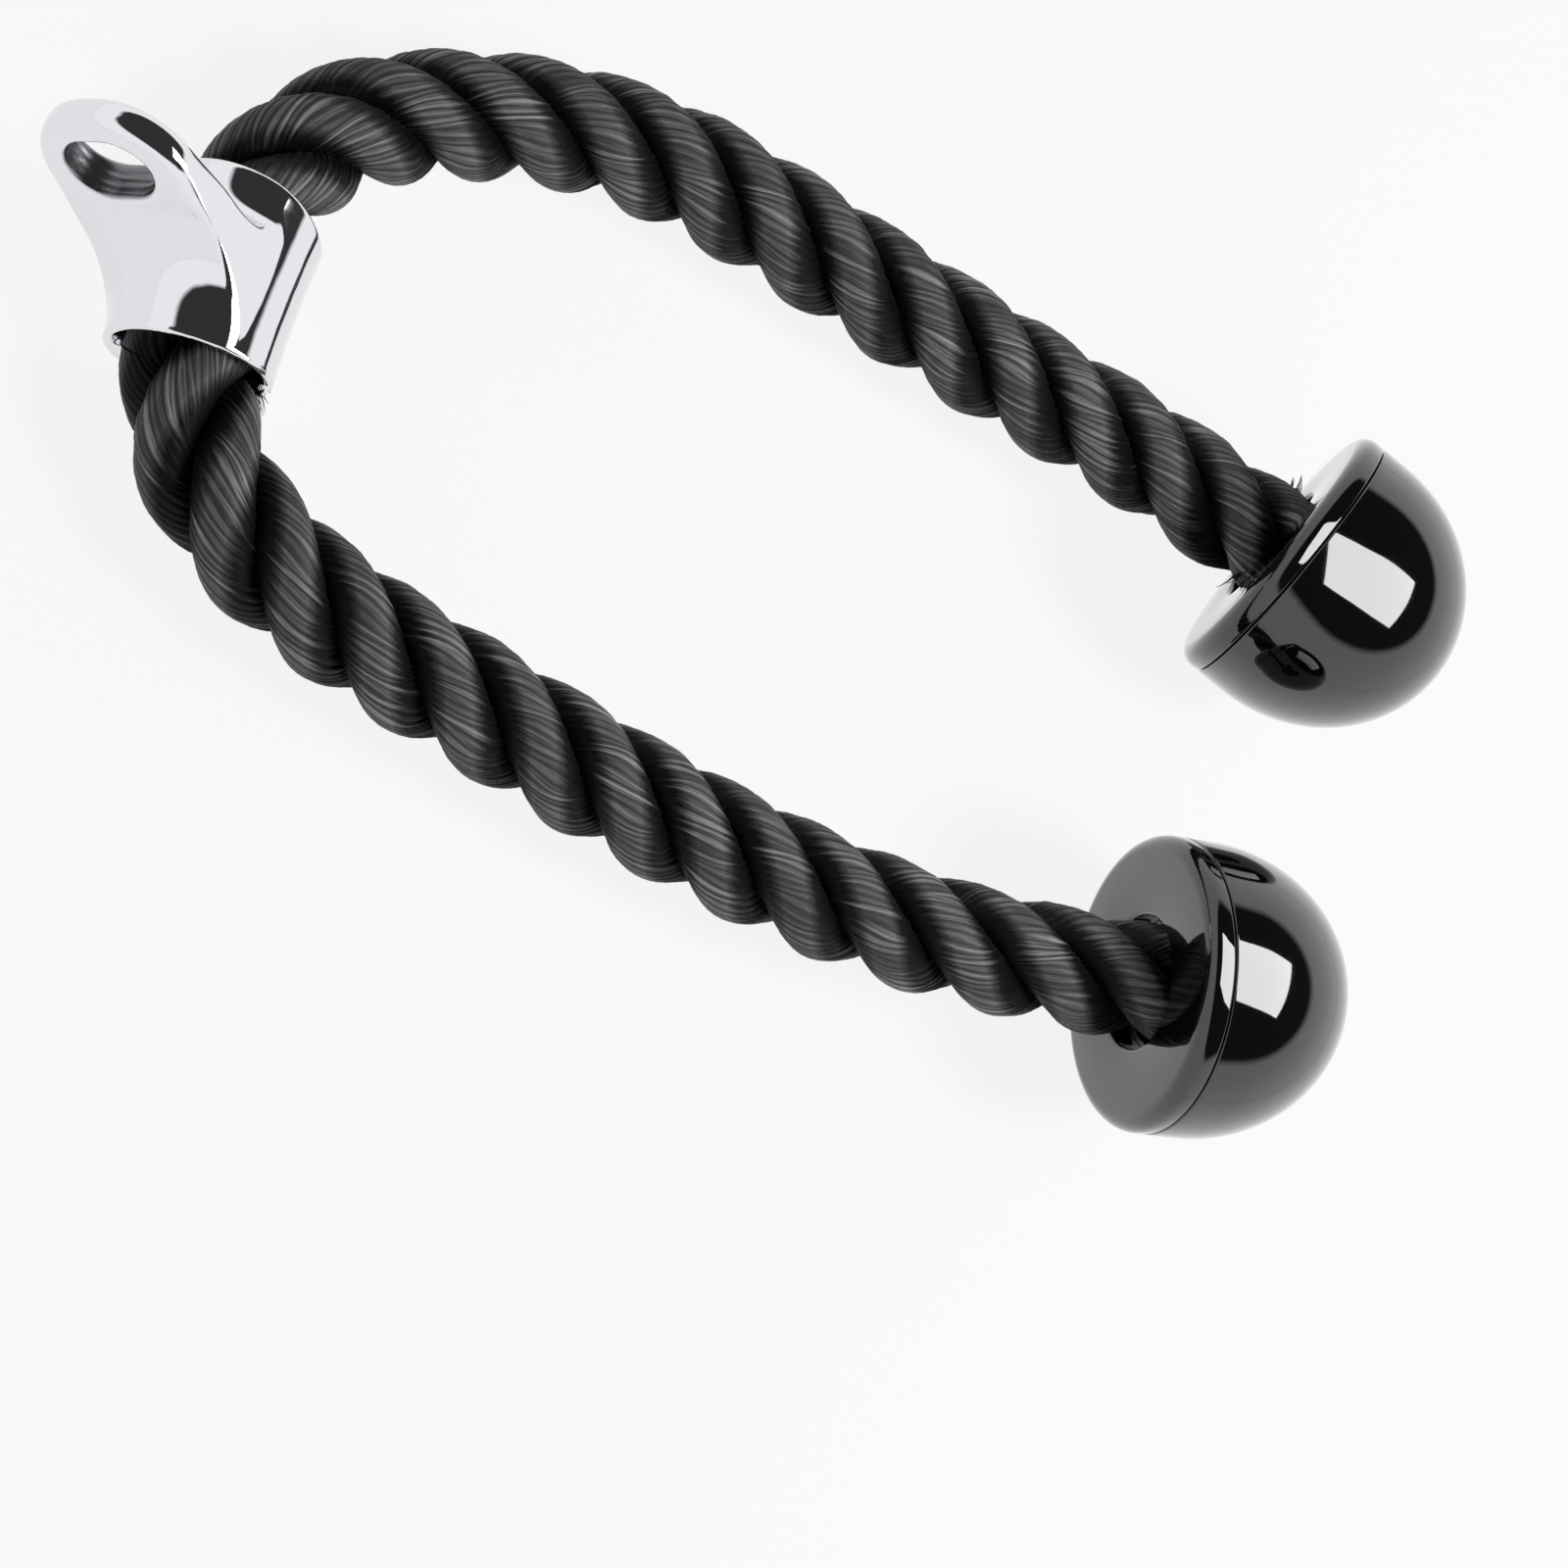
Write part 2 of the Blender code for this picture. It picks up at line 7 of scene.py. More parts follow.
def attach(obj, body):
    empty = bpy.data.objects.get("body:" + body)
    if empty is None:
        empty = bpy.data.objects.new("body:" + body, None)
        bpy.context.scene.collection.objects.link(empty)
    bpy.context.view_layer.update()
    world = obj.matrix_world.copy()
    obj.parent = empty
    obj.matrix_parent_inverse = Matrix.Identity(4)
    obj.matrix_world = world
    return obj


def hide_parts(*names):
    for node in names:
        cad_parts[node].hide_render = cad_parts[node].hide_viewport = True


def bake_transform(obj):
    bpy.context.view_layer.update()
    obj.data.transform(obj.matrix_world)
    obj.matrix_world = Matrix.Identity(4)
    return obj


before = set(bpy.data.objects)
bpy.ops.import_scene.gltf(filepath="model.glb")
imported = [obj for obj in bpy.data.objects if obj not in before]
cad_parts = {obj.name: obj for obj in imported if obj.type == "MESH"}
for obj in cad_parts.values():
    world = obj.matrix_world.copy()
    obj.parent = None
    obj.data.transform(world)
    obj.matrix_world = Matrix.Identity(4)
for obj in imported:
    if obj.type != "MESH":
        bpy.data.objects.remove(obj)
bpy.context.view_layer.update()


# Camera: stands above the clamp's side of the U and looks down its length, turned so that the
# rope runs from the upper left to the lower right. The scene is in metres.
CLAMP_MIDDLE = np.array([-0.1298, -0.0176, 0.0175])
camera = bpy.data.objects.new("camera", bpy.data.cameras.new("camera"))
bpy.context.scene.collection.objects.link(camera)
camera.matrix_world = Matrix((
    (0.758134, -0.426776, -0.493047, -0.39225),
    (0.286453, 0.897194, -0.336136, -0.34088),
    (0.585814, 0.113601, 0.802444, 0.70935),
    (0, 0, 0, 1),
))
camera.data.lens = 90.83
camera.data.sensor_width = 36
camera.data.dof.use_dof = False
camera.data.clip_start = 0.01
bpy.context.scene.camera = camera
bpy.context.scene.view_settings.view_transform = "Standard"


# Rope: one length of three black nylon strands, laid right-handed. It runs straight through the
# clamp, bends at both of its mouths and lies along the ground to the two balls.
RIGHT_ROUTE = [
    (0.0000, -0.0060, 0.0000), (0.0000, -0.0120, 0.0000), (0.0008, -0.0189, 0.0000),
    (0.0038, -0.0263, 0.0000), (0.0092, -0.0335, 0.0000), (0.0162, -0.0392, 0.0000),
    (0.0249, -0.0439, 0.0000), (0.0354, -0.0474, 0.0000), (0.0471, -0.0496, 0.0001),
    (0.0611, -0.0510, 0.0002), (0.0800, -0.0519, 0.0005), (0.1020, -0.0530, 0.0010),
    (0.1254, -0.0541, 0.0018), (0.1490, -0.0546, 0.0029), (0.1740, -0.0539, 0.0046),
    (0.1980, -0.0518, 0.0069), (0.2190, -0.0486, 0.0094), (0.2400, -0.0441, 0.0124),
    (0.2582, -0.0398, 0.0154), (0.2653, -0.0378, 0.0169), (0.2748, -0.0352, 0.0189),
    (0.2857, -0.0322, 0.0212),
]
LEFT_ROUTE = [
    (0.0000, 0.0060, 0.0000), (0.0000, 0.0120, 0.0000), (0.0005, 0.0190, 0.0000),
    (0.0022, 0.0268, 0.0000), (0.0057, 0.0351, 0.0000), (0.0105, 0.0426, 0.0000),
    (0.0174, 0.0499, 0.0000), (0.0260, 0.0567, 0.0000), (0.0361, 0.0631, 0.0000),
    (0.0485, 0.0697, 0.0000), (0.0633, 0.0758, 0.0000), (0.0768, 0.0795, 0.0000),
    (0.0916, 0.0820, 0.0000), (0.1093, 0.0830, 0.0001), (0.1300, 0.0833, 0.0002),
    (0.1534, 0.0831, 0.0006), (0.1760, 0.0829, 0.0014), (0.1984, 0.0827, 0.0027),
    (0.2190, 0.0822, 0.0049), (0.2377, 0.0804, 0.0076), (0.2510, 0.0784, 0.0103),
    (0.2625, 0.0758, 0.0138), (0.2691, 0.0733, 0.0164), (0.2779, 0.0700, 0.0198),
    (0.2881, 0.0662, 0.0238),
]
LAY_TURNS = np.array([
    (-0.3400, -4.59), (-0.2900, -3.87), (-0.2600, -3.45), (-0.2200, -2.88), (-0.1750, -2.26),
    (-0.1300, -1.60), (-0.0900, -1.00), (-0.0520, -0.39), (-0.0170, 0.16), (0.0170, 0.71),
    (0.0510, 1.23), (0.0910, 1.88), (0.1340, 2.54), (0.1790, 3.22), (0.2220, 3.86),
    (0.2700, 4.54), (0.3210, 5.28),
])
ROPE_D = 0.0280
STRAND_D = 0.0132
CORE_HALF = 0.0170
BEND_END = 0.0860
YARNS = 18
YARN_RISE = 0.00052
YARN_TURN = 270


def spline_through(at, values, where):
    """Natural cubic spline through rows of values: bends are zero at both ends, and the slope and
    the bend are the same on both sides of every row."""
    gap = np.diff(at)
    count = len(at)
    system, right = np.eye(count), np.zeros(values.shape)
    slope = np.diff(values, axis=0) / gap[:, None]
    for k in range(1, count - 1):
        system[k, k - 1:k + 2] = gap[k - 1], 2 * (gap[k - 1] + gap[k]), gap[k]
        right[k] = 6 * (slope[k] - slope[k - 1])
    bend = np.linalg.solve(system, right)
    span = np.clip(np.searchsorted(at, where) - 1, 0, count - 2)
    wide, past = gap[span][:, None], (where - at[span])[:, None]
    left = wide - past
    return (
        (bend[span] * left**3 + bend[span + 1] * past**3) / (6 * wide)
        + (values[span] / wide - bend[span] * wide / 6) * left
        + (values[span + 1] / wide - bend[span + 1] * wide / 6) * past
    )


def running_length(points):
    """Length from the first point to each point of a line."""
    return np.concatenate([[0], np.cumsum(np.linalg.norm(np.diff(points, axis=0), axis=1))])


def read(values, where):
    """Rows of a table along the rope, read between its places in straight lines."""
    return np.stack([np.interp(where, rope_at, values[:, k]) for k in range(3)], axis=1)


route_points = np.array(LEFT_ROUTE[::-1] + RIGHT_ROUTE) + CLAMP_MIDDLE
route_at = running_length(route_points)
rope_line = spline_through(route_at, route_points, np.linspace(0, route_at[-1], 900))
rope_at = running_length(rope_line)
rope_at -= rope_at[np.linalg.norm(rope_line - CLAMP_MIDDLE, axis=1).argmin()]
rope_ahead = np.gradient(rope_line, rope_at, axis=0)
rope_ahead /= np.linalg.norm(rope_ahead, axis=1)[:, None]
rope_side = np.zeros_like(rope_ahead)
side = np.cross(rope_ahead[0], (0, 0, 1))
for k, ahead in enumerate(rope_ahead):
    side = side - ahead * np.dot(side, ahead)
    side /= np.linalg.norm(side)
    rope_side[k] = side


def strand_line(number, where, strand_d):
    """Centre of a strand: the rope's line, and out from it by half of what the strand leaves of
    the rope's thickness, turned once for each turn of the lay. Also gives the outward way."""
    turn = spline_through(LAY_TURNS[:, 0], LAY_TURNS[:, 1:], where)[:, 0]
    phase = math.tau * (turn + number / 3)
    side, ahead = read(rope_side, where), read(rope_ahead, where)
    out = np.cos(phase)[:, None] * side + np.sin(phase)[:, None] * np.cross(ahead, side)
    return read(rope_line, where) + out * (ROPE_D - strand_d) / 2, out


def grid_mesh(name, grid, close_ends=True, uv=None, **measures):
    """A tube from a grid of points: rows run along it and each row closes on itself. Its ends are
    closed with a fan of their own points, so that they don't bend the shading. Measures are one
    number for each point of the grid."""
    rows, columns = grid.shape[:2]
    points = grid.reshape(-1, 3)
    row, column = np.meshgrid(np.arange(rows - 1), np.arange(columns), indexing="ij")
    after = (column + 1) % columns
    faces = np.stack([
        row * columns + column, row * columns + after,
        (row + 1) * columns + after, (row + 1) * columns + column,
    ], axis=-1).reshape(-1, 4).tolist()
    if close_ends:
        here = np.arange(columns) + rows * columns
        there = np.roll(here, -1)
        middle = rows * columns + 2 * columns
        points = np.concatenate([points, grid[0], grid[-1], [grid[0].mean(0), grid[-1].mean(0)]])
        faces += np.stack([np.full(columns, middle), there, here], axis=1).tolist()
        here, there = here + columns, there + columns
        faces += np.stack([np.full(columns, middle + 1), here, there], axis=1).tolist()
    mesh = bpy.data.meshes.new(name)
    mesh.from_pydata(points.tolist(), [], faces)
    if uv is not None:
        across = np.stack([column, column + 1, column + 1, column], axis=-1).reshape(-1) / columns
        along = np.stack([row, row, row + 1, row + 1], axis=-1).reshape(-1)
        flat = np.zeros((len(mesh.loops), 2))
        flat[:len(across), 0] = across * uv[0]
        flat[:len(across), 1] = np.asarray(uv[1])[along]
        layer = mesh.uv_layers.new(name="yarn")
        layer.data.foreach_set("uv", flat.astype(np.float32).ravel())
    for key, value in measures.items():
        layer = mesh.attributes.new(key, "FLOAT", "POINT")
        flat = np.zeros(len(points))
        flat[:rows * columns] = value.ravel()
        layer.data.foreach_set("value", flat.astype(np.float32))
    mesh.shade_smooth()
    return mesh


def strand_surface(name, number, start, end, tongue=0, per_yarn=8, step=0.0010):
    """Surface of one strand: a round tube on the strand's line, with a ridge for each yarn. The
    yarns are twisted the other way than the strands, so that on the crests they run along the
    rope. The tongue is a narrower run past one end, under the next stretch's surface."""
    where = np.linspace(start, end, max(8, round((end - start) / step)))
    thin = np.zeros(len(where))
    if tongue:
        past = end + tongue if tongue > 0 else start + tongue
        where = np.append(where, past) if tongue > 0 else np.append(past, where)
        thin = np.append(thin, 0.0005) if tongue > 0 else np.append(0.0005, thin)
    line, out = strand_line(number, where, STRAND_D)
    ahead = np.gradient(line, where, axis=0)
    ahead /= np.linalg.norm(ahead, axis=1)[:, None]
    out = out - ahead * np.sum(out * ahead, axis=1)[:, None]
    out /= np.linalg.norm(out, axis=1)[:, None]
    across = np.cross(ahead, out)
    columns = YARNS * per_yarn
    yarn = np.arange(columns) / per_yarn
    chance = np.random.default_rng(7 + number)
    own = yarn.astype(int)
    level = chance.uniform(0.45, 1.0, YARNS)[own]
    beat = chance.uniform(60, 170, YARNS)[own]
    start_at = chance.uniform(0, math.tau, YARNS)[own]
    swell = 0.75 + 0.25 * np.sin(where[:, None] * beat + start_at)
    ridge = np.abs(np.sin(math.pi * yarn)) ** 0.8
    fine = 0.25 * np.abs(np.sin(2 * math.pi * yarn + 0.9 * np.sin(where[:, None] * 130 + own)))
    height = ridge * level * swell * (1 - fine)
    sway = (
        0.16 * np.sin(where[:, None] * 190 + number * 2.1 + yarn * 0.35)
        + 0.08 * np.sin(where[:, None] * 430 + yarn * 0.9)
    )
    turn = math.tau * yarn[None] / YARNS - where[:, None] * YARN_TURN + sway
    radius = STRAND_D / 2 + YARN_RISE * (height - 0.75) - thin[:, None]
    grid = line[:, None] + radius[..., None] * (
        np.cos(turn)[..., None] * out[:, None] + np.sin(turn)[..., None] * across[:, None]
    )
    # Painted highlight: the crest measure is 1 where a strand faces out of the rope, turned a
    # little round the strand by a different amount on each arm. The nylon's colour is pale there as
    # painted sheen and dark on the flanks as painted shade.
    painted_sheen_at = 0.235 * np.tanh(where[:, None] / 0.03) - 0.115
    crest = 0.5 + 0.5 * np.cos(turn - painted_sheen_at)
    mesh = grid_mesh(name, grid, uv=(YARNS, where * 1000), ridge=height, crest=crest)
    return mesh, line


def linear(hex_colour):
    """Linear red, green, blue and alpha of an sRGB hex colour."""
    parts = [int(hex_colour[k:k + 2], 16) / 255 for k in (1, 3, 5)]
    return (*[c / 12.92 if c <= 0.04045 else ((c + 0.055) / 1.055) ** 2.4 for c in parts], 1)


def add_node(tree, kind, links=(), **settings):
    """Adds a node; settings are its properties or its inputs, and links pair an input with an
    output of another node."""
    node = tree.nodes.new(kind)
    for key, value in settings.items():
        key = key.replace("_", " ").strip()
        if hasattr(node, key.replace(" ", "_")) and key.replace(" ", "_") not in node.inputs:
            setattr(node, key.replace(" ", "_"), value)
        else:
            node.inputs[key].default_value = value
    for socket, source in dict(links).items():
        tree.links.new(source, node.inputs[socket])
    return node


def new_material(name):
    """A material with only an output and a Principled shader; gives the tree and the shader."""
    made = bpy.data.materials.new(name)
    made.use_nodes = True
    return made, made.node_tree, made.node_tree.nodes["Principled BSDF"]


# Black nylon: continuous filaments, dyed before they are spun. Its colour carries a painted grey
# sheen on the strands' crests, and painted shade keeps the strands' flanks and the grooves
# between yarns and between strands black.
nylon, tree, shader = new_material("black_nylon_filament")
shader.inputs["Roughness"].default_value = 0.44
shader.inputs["IOR"].default_value = 1.53
shader.inputs["Specular IOR Level"].default_value = 0.09
shader.inputs["Sheen Weight"].default_value = 0.05
shader.inputs["Sheen Roughness"].default_value = 0.35
uv = add_node(tree, "ShaderNodeUVMap", uv_map="yarn")
# Filament bundles about 0.3 mm wide and 8 mm long, a quarter of a yarn's width.
bundles = add_node(tree, "ShaderNodeMapping", links=[("Vector", uv.outputs["UV"])])
bundles.inputs["Scale"].default_value = (4.0, 0.12, 1)
fibres = add_node(
    tree, "ShaderNodeTexNoise", links=[("Vector", bundles.outputs["Vector"])],
    Scale=1.0, Detail=4.0, Roughness=0.65,
)
streaks = add_node(
    tree, "ShaderNodeMapRange", links=[("Value", fibres.outputs["Fac"])],
    From_Min=0.34, From_Max=0.66,
)
# Painted shade: the yarns' height from the mesh darkens the grooves between yarns and leaves their
# tops paler, and the filament streaks break it up.
ridge = add_node(tree, "ShaderNodeAttribute", attribute_name="ridge")
painted_groove_shade = add_node(
    tree, "ShaderNodeMapRange", links=[("Value", ridge.outputs["Fac"])],
    From_Min=0.10, From_Max=0.75,
)
painted_groove_shade.inputs["To Min"].default_value = 0.05
# Painted highlight and shade: pale where the crest measure is high, dark on the strands' flanks.
crest = add_node(tree, "ShaderNodeAttribute", attribute_name="crest")
painted_sheen = add_node(
    tree, "ShaderNodeMapRange", links=[("Value", crest.outputs["Fac"])],
    From_Min=0.70, From_Max=0.95,
)
groove_shade_and_streaks = add_node(
    tree, "ShaderNodeMath", links=[(0, painted_groove_shade.outputs["Result"]), (1, streaks.outputs["Result"])],
    operation="MULTIPLY",
)
# Painted sheen on the crest and painted groove shade broken by filament streaks are added, not
# multiplied, so the sheen ends in a comb of pale filaments.
both = add_node(
    tree, "ShaderNodeMath", links=[(0, painted_sheen.outputs["Result"]), (1, groove_shade_and_streaks.outputs["Value"])],
    operation="ADD",
)
painted_sheen_level = add_node(
    tree, "ShaderNodeMapRange", links=[("Value", both.outputs["Value"])],
    From_Min=0.62, From_Max=1.80,
)
shade = add_node(tree, "ShaderNodeValToRGB", links=[("Fac", painted_sheen_level.outputs["Result"])])
shade.color_ramp.elements[0].position = 0.0
shade.color_ramp.elements[0].color = linear("#09090a")
shade.color_ramp.elements[1].position = 1.0
shade.color_ramp.elements[1].color = linear("#9c9ca0")
middle = shade.color_ramp.elements.new(0.35)
middle.color = linear("#3c3c3e")
tree.links.new(shade.outputs["Color"], shader.inputs["Base Color"])
raised = add_node(
    tree, "ShaderNodeBump", links=[("Height", fibres.outputs["Fac"])],
    Strength=0.6, Distance=0.0003,
)
tree.links.new(raised.outputs["Normal"], shader.inputs["Normal"])

stretches = [("clamp", -CORE_HALF, CORE_HALF)]
for side_name, sign, end in (("left", -1, rope_at[0]), ("right", 1, rope_at[-1])):
    for part, low, high in (("bend", CORE_HALF, BEND_END), ("grip", BEND_END, abs(end))):
        stretches.append((f"{side_name}_{part}", *sorted((sign * low, sign * high))))
for stretch, start, end in stretches:
    side_name, part = stretch.split("_") if "_" in stretch else ("", "core")
    tongue = {"core": 0, "bend": 0.0012, "grip": -0.0012}[part] * (-1 if side_name == "left" else 1)
    for number in range(3):
        node = f"{stretch}_strand_{number + 1}"
        mesh, line = strand_surface(f"{node}_yarns", number, start, end, tongue)
        strand = bpy.data.objects.new(f"{node}_yarns", mesh)
        bpy.context.scene.collection.objects.link(strand)
        mesh.materials.append(nylon)
        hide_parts(node)
        if part == "core":
            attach(strand, "clamp")
            continue
        sign = 1 if side_name == "right" else -1
        if part == "bend":
            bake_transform(strand)
        else:
            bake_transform(strand)


# Centre clamp: one zinc casting, polished and chrome-plated, closed round the rope. A barrel
# holds the rope, and an eye with a slot for the snap hook grows out of it on wide fillets.
EYE_LEAN = math.radians(27.2)
EYE_WAY = np.array([-math.cos(EYE_LEAN), 0, math.sin(EYE_LEAN)])
EYE_ACROSS = np.array([math.sin(EYE_LEAN), 0, math.cos(EYE_LEAN)])
WAIST_R, RIM_R, BARREL_HALF, BORE_R, SADDLE_SHARE = 0.0169, 0.0175, 0.01795, 0.0143, 0.107
EYE_SHIFT, EYE_TILT, EYE_TOP, EYE_HALF, EYE_FOOT_HALF = 0.0013, 0.156, 0.0534, 0.0169, 0.0163
EYE_CORNER, EYE_THICK, EYE_DRAFT, EYE_EDGE, EYE_FOOT_EDGE = 0.0154, 0.0077, 0.09, 0.0033, 0.0010
SLOT_AT, SLOT_R, SLOT_EXTRA, FRONT_FILLET, BACK_FILLET = 0.0405, 0.0075, 0.0021, 0.0160, 0.0090


def soft_min(a, b, reach):
    """The lower of two fields, with a smooth fillet where they differ by less than the reach."""
    blend = np.clip(reach - np.abs(a - b), 0, None) / reach
    return np.minimum(a, b) - blend**2 * reach / 4


def rounded(a, b, edge):
    """Where two walls meet, measured from both, with the edge rounded by this radius."""
    a, b = a + edge, b + edge
    return np.minimum(np.maximum(a, b), 0) + np.hypot(np.maximum(a, 0), np.maximum(b, 0)) - edge


def eased(t):
    """Goes from 0 to 1 with no slope at either end."""
    t = np.clip(t, 0, 1)
    return t * t * (3 - 2 * t)


def clamp_field(x, y, z):
    """Signed distance to the clamp, less than zero inside. x is across the eye, y along the bore
    and z out along the eye. A waisted barrel and a flat, drafted eye that tilts a little to the
    left are joined by fillets, then the bell-mouthed bore and the slot are taken away."""
    away = np.hypot(x, z)
    along = np.abs(y) / (1 + SADDLE_SHARE * z / RIM_R)
    barrel = away - WAIST_R - (RIM_R - WAIST_R) * np.clip(along / BARREL_HALF, 0, 1) ** 2
    half_width = EYE_FOOT_HALF + (EYE_HALF - EYE_FOOT_HALF) * eased((z - 0.0175) / 0.020)
    side = np.abs(x) - (half_width - EYE_CORNER)
    top = z - (EYE_TOP - EYE_CORNER)
    outline = (
        np.minimum(np.maximum(side, top), 0)
        + np.hypot(np.maximum(side, 0), np.maximum(top, 0)) - EYE_CORNER
    )
    outline = np.maximum(outline, -z)
    beside = y - EYE_SHIFT - EYE_TILT * (z - 0.0175)
    slab = np.abs(beside) - (EYE_THICK + EYE_DRAFT * np.clip(SLOT_AT - z, 0, 0.030)) / 2
    reach = BACK_FILLET + (FRONT_FILLET - BACK_FILLET) * (0.5 - 0.5 * np.tanh(beside / 0.003))
    filled = soft_min(barrel, slab, reach)
    edge = EYE_FOOT_EDGE + (EYE_EDGE - EYE_FOOT_EDGE) * eased((z - 0.024) / 0.014)
    eye = rounded(outline, filled, edge)
    under = 0.0022 * eased((2.0 * RIM_R / 3 - z) / 0.022) * (y > 0)
    body = rounded(np.minimum(barrel, eye), along - BARREL_HALF + under, 0.0010)
    bell = np.clip((along - 0.0120) / 0.0060, 0, 1.4)
    body = -soft_min(-body, away - BORE_R - 0.0017 * bell**2, 0.0008)
    ribs = 0.00006 * np.sin(beside / 0.00030) + 0.00004 * np.sin(beside / 0.00018 + 500 * x)
    slot = np.hypot(np.maximum(np.abs(x) - SLOT_EXTRA, 0), z - SLOT_AT) - SLOT_R + ribs
    return -soft_min(-body, slot, 0.0012)


def level_surface(name, field, low, high, step):
    """Mesh of the surface where a field is zero: one point in each cell that the surface crosses,
    at the middle of its edge crossings, then moved onto the surface down the field's slope."""
    axes = [np.arange(a, b + step, step) for a, b in zip(low, high)]
    values = field(*np.meshgrid(*axes, indexing="ij", sparse=True))
    values = values + np.zeros([len(a) for a in axes])
    cells = tuple(n - 1 for n in values.shape)
    total, crossings = np.zeros((*cells, 3)), np.zeros(cells)
    corners = [(i, j, k) for i in (0, 1) for j in (0, 1) for k in (0, 1)]

    def corner(c):
        return values[c[0]:c[0] + cells[0], c[1]:c[1] + cells[1], c[2]:c[2] + cells[2]]

    for a in corners:
        for axis in range(3):
            if a[axis]:
                continue
            b = tuple(v + (n == axis) for n, v in enumerate(a))
            va, vb = corner(a), corner(b)
            cut = (va < 0) != (vb < 0)
            share = np.where(cut, va / np.where(cut, va - vb, 1), 0)
            for n in range(3):
                total[..., n] += np.where(cut, a[n] + (share if n == axis else 0), 0)
            crossings += cut
    used = crossings > 0
    index = np.full(cells, -1)
    index[used] = np.arange(used.sum())
    points = total[used] / crossings[used][:, None] + np.argwhere(used)
    points = points * step + np.array([a[0] for a in axes])
    faces = []
    for axis in range(3):
        u, v = [n for n in range(3) if n != axis]
        inside = values < 0
        ahead = np.take(inside, np.arange(1, inside.shape[axis]), axis=axis)
        here = np.take(inside, np.arange(inside.shape[axis] - 1), axis=axis)
        at = np.argwhere(here != ahead)
        at = at[(at[:, u] > 0) & (at[:, v] > 0) & (at[:, u] < cells[u]) & (at[:, v] < cells[v])]
        corner_ids = []
        for du, dv in ((1, 1), (0, 1), (0, 0), (1, 0)):
            cell = at.copy()
            cell[:, u] -= du
            cell[:, v] -= dv
            corner_ids.append(index[tuple(cell.T)])
        quad = np.stack(corner_ids, axis=1)
        outward = here[tuple(at.T)] != (axis == 1)
        quad[~outward] = quad[~outward][:, ::-1]
        faces.append(quad)
    tiny = step / 50
    for _ in range(5):
        value = field(*points.T)
        slope = np.stack([
            (field(*(points + tiny * np.eye(3)[n]).T) - field(*(points - tiny * np.eye(3)[n]).T))
            / (2 * tiny)
            for n in range(3)
        ], axis=1)
        move = (value / np.maximum(np.sum(slope**2, axis=1), 0.2))[:, None] * slope
        points = points - np.clip(move, -step / 2, step / 2)
    mesh = bpy.data.meshes.new(name)
    return mesh, points, np.concatenate(faces)


mesh, points, faces = level_surface(
    "centre_clamp_casting", clamp_field,
    (-0.0195, -0.0225, -0.0195), (0.0195, 0.0225, 0.0560), 0.00045,
)
from_slot = (
    np.hypot(np.maximum(np.abs(points[:, 0]) - SLOT_EXTRA, 0), points[:, 2] - SLOT_AT) - SLOT_R
)
from_bore = np.hypot(points[:, 0], points[:, 2]) - BORE_R
as_cast = eased(1 - np.minimum(from_slot, from_bore + 0.0002) / 0.0006)
placed = (
    CLAMP_MIDDLE + points[:, :1] * EYE_ACROSS
    + points[:, 1:2] * np.array([0, 1, 0]) + points[:, 2:] * EYE_WAY
)
mesh.from_pydata(placed.tolist(), [], faces.tolist())
layer = mesh.attributes.new("as_cast", "FLOAT", "POINT")
layer.data.foreach_set("value", as_cast.astype(np.float32))
mesh.shade_smooth()
clamp = bpy.data.objects.new("centre_clamp_casting", mesh)
bpy.context.scene.collection.objects.link(clamp)

# Bright chrome: nickel and chrome over a polished casting, so that it mirrors the studio, with a
# faint waviness left by the hand polish.
chrome, tree, shader = new_material("bright_chrome_plate")
shader.inputs["Metallic"].default_value = 1.0
where = add_node(tree, "ShaderNodeTexCoord")
# The plating is thin and dull on the unpolished wall of the slot, which keeps the mould's lines.
cast = add_node(tree, "ShaderNodeAttribute", attribute_name="as_cast")
tint = add_node(tree, "ShaderNodeValToRGB", links=[("Fac", cast.outputs["Fac"])])
tint.color_ramp.elements[0].color = linear("#e6e6ea")
tint.color_ramp.elements[1].color = linear("#77787b")
tree.links.new(tint.outputs["Color"], shader.inputs["Base Color"])
dull = add_node(tree, "ShaderNodeMapRange", links=[("Value", cast.outputs["Fac"])])
dull.inputs["To Min"].default_value = 0.05
dull.inputs["To Max"].default_value = 0.34
tree.links.new(dull.outputs["Result"], shader.inputs["Roughness"])
# Waves about 9 mm long, as a buffing wheel leaves.
waves = add_node(
    tree, "ShaderNodeTexNoise", links=[("Vector", where.outputs["Object"])],
    Scale=110.0, Detail=2.0,
)
wavy = add_node(
    tree, "ShaderNodeBump", links=[("Height", waves.outputs["Fac"])],
    Strength=0.25, Distance=0.0003,
)
tree.links.new(wavy.outputs["Normal"], shader.inputs["Normal"])
mesh.materials.append(chrome)
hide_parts("centre_clamp")
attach(clamp, "clamp")


# Balls: black ABS mouldings, a dome pushed onto the spigot of an end plate, with a fine parting
# line between them. The plate's hole lets the rope turn.
BALL_R, PLATE_T, DOME_SKIRT, DOME_RISE, PLATE_HOLE_R = 0.0340, 0.0060, 0.0075, 0.0370, 0.0153
SPIGOT_R, SPIGOT_INNER_R, SPIGOT_TOP = 0.0297, 0.0267, 0.0105
DOME_BORE_R, DOME_BORE_RISE, DOME_GAP, POLE_R = 0.0300, 0.0330, 0.0002, 0.00005
HOLE_ROUND, RIM_ROUND, PLATE_ROUND, DOME_ROUND = 0.0010, 0.0038, 0.0007, 0.0005
# The rope runs this far past the plate's outer face, to the end of its ferrule.
BALL_TAIL = 0.0291


def curve_arc(middle, radii, start, end, count=14):
    """Points of an elliptic arc, from one angle to another in degrees."""
    turn = np.radians(np.linspace(start, end, count))
    return np.stack(
        [middle[0] + radii[0] * np.cos(turn), middle[1] + radii[1] * np.sin(turn)], axis=1,
    )


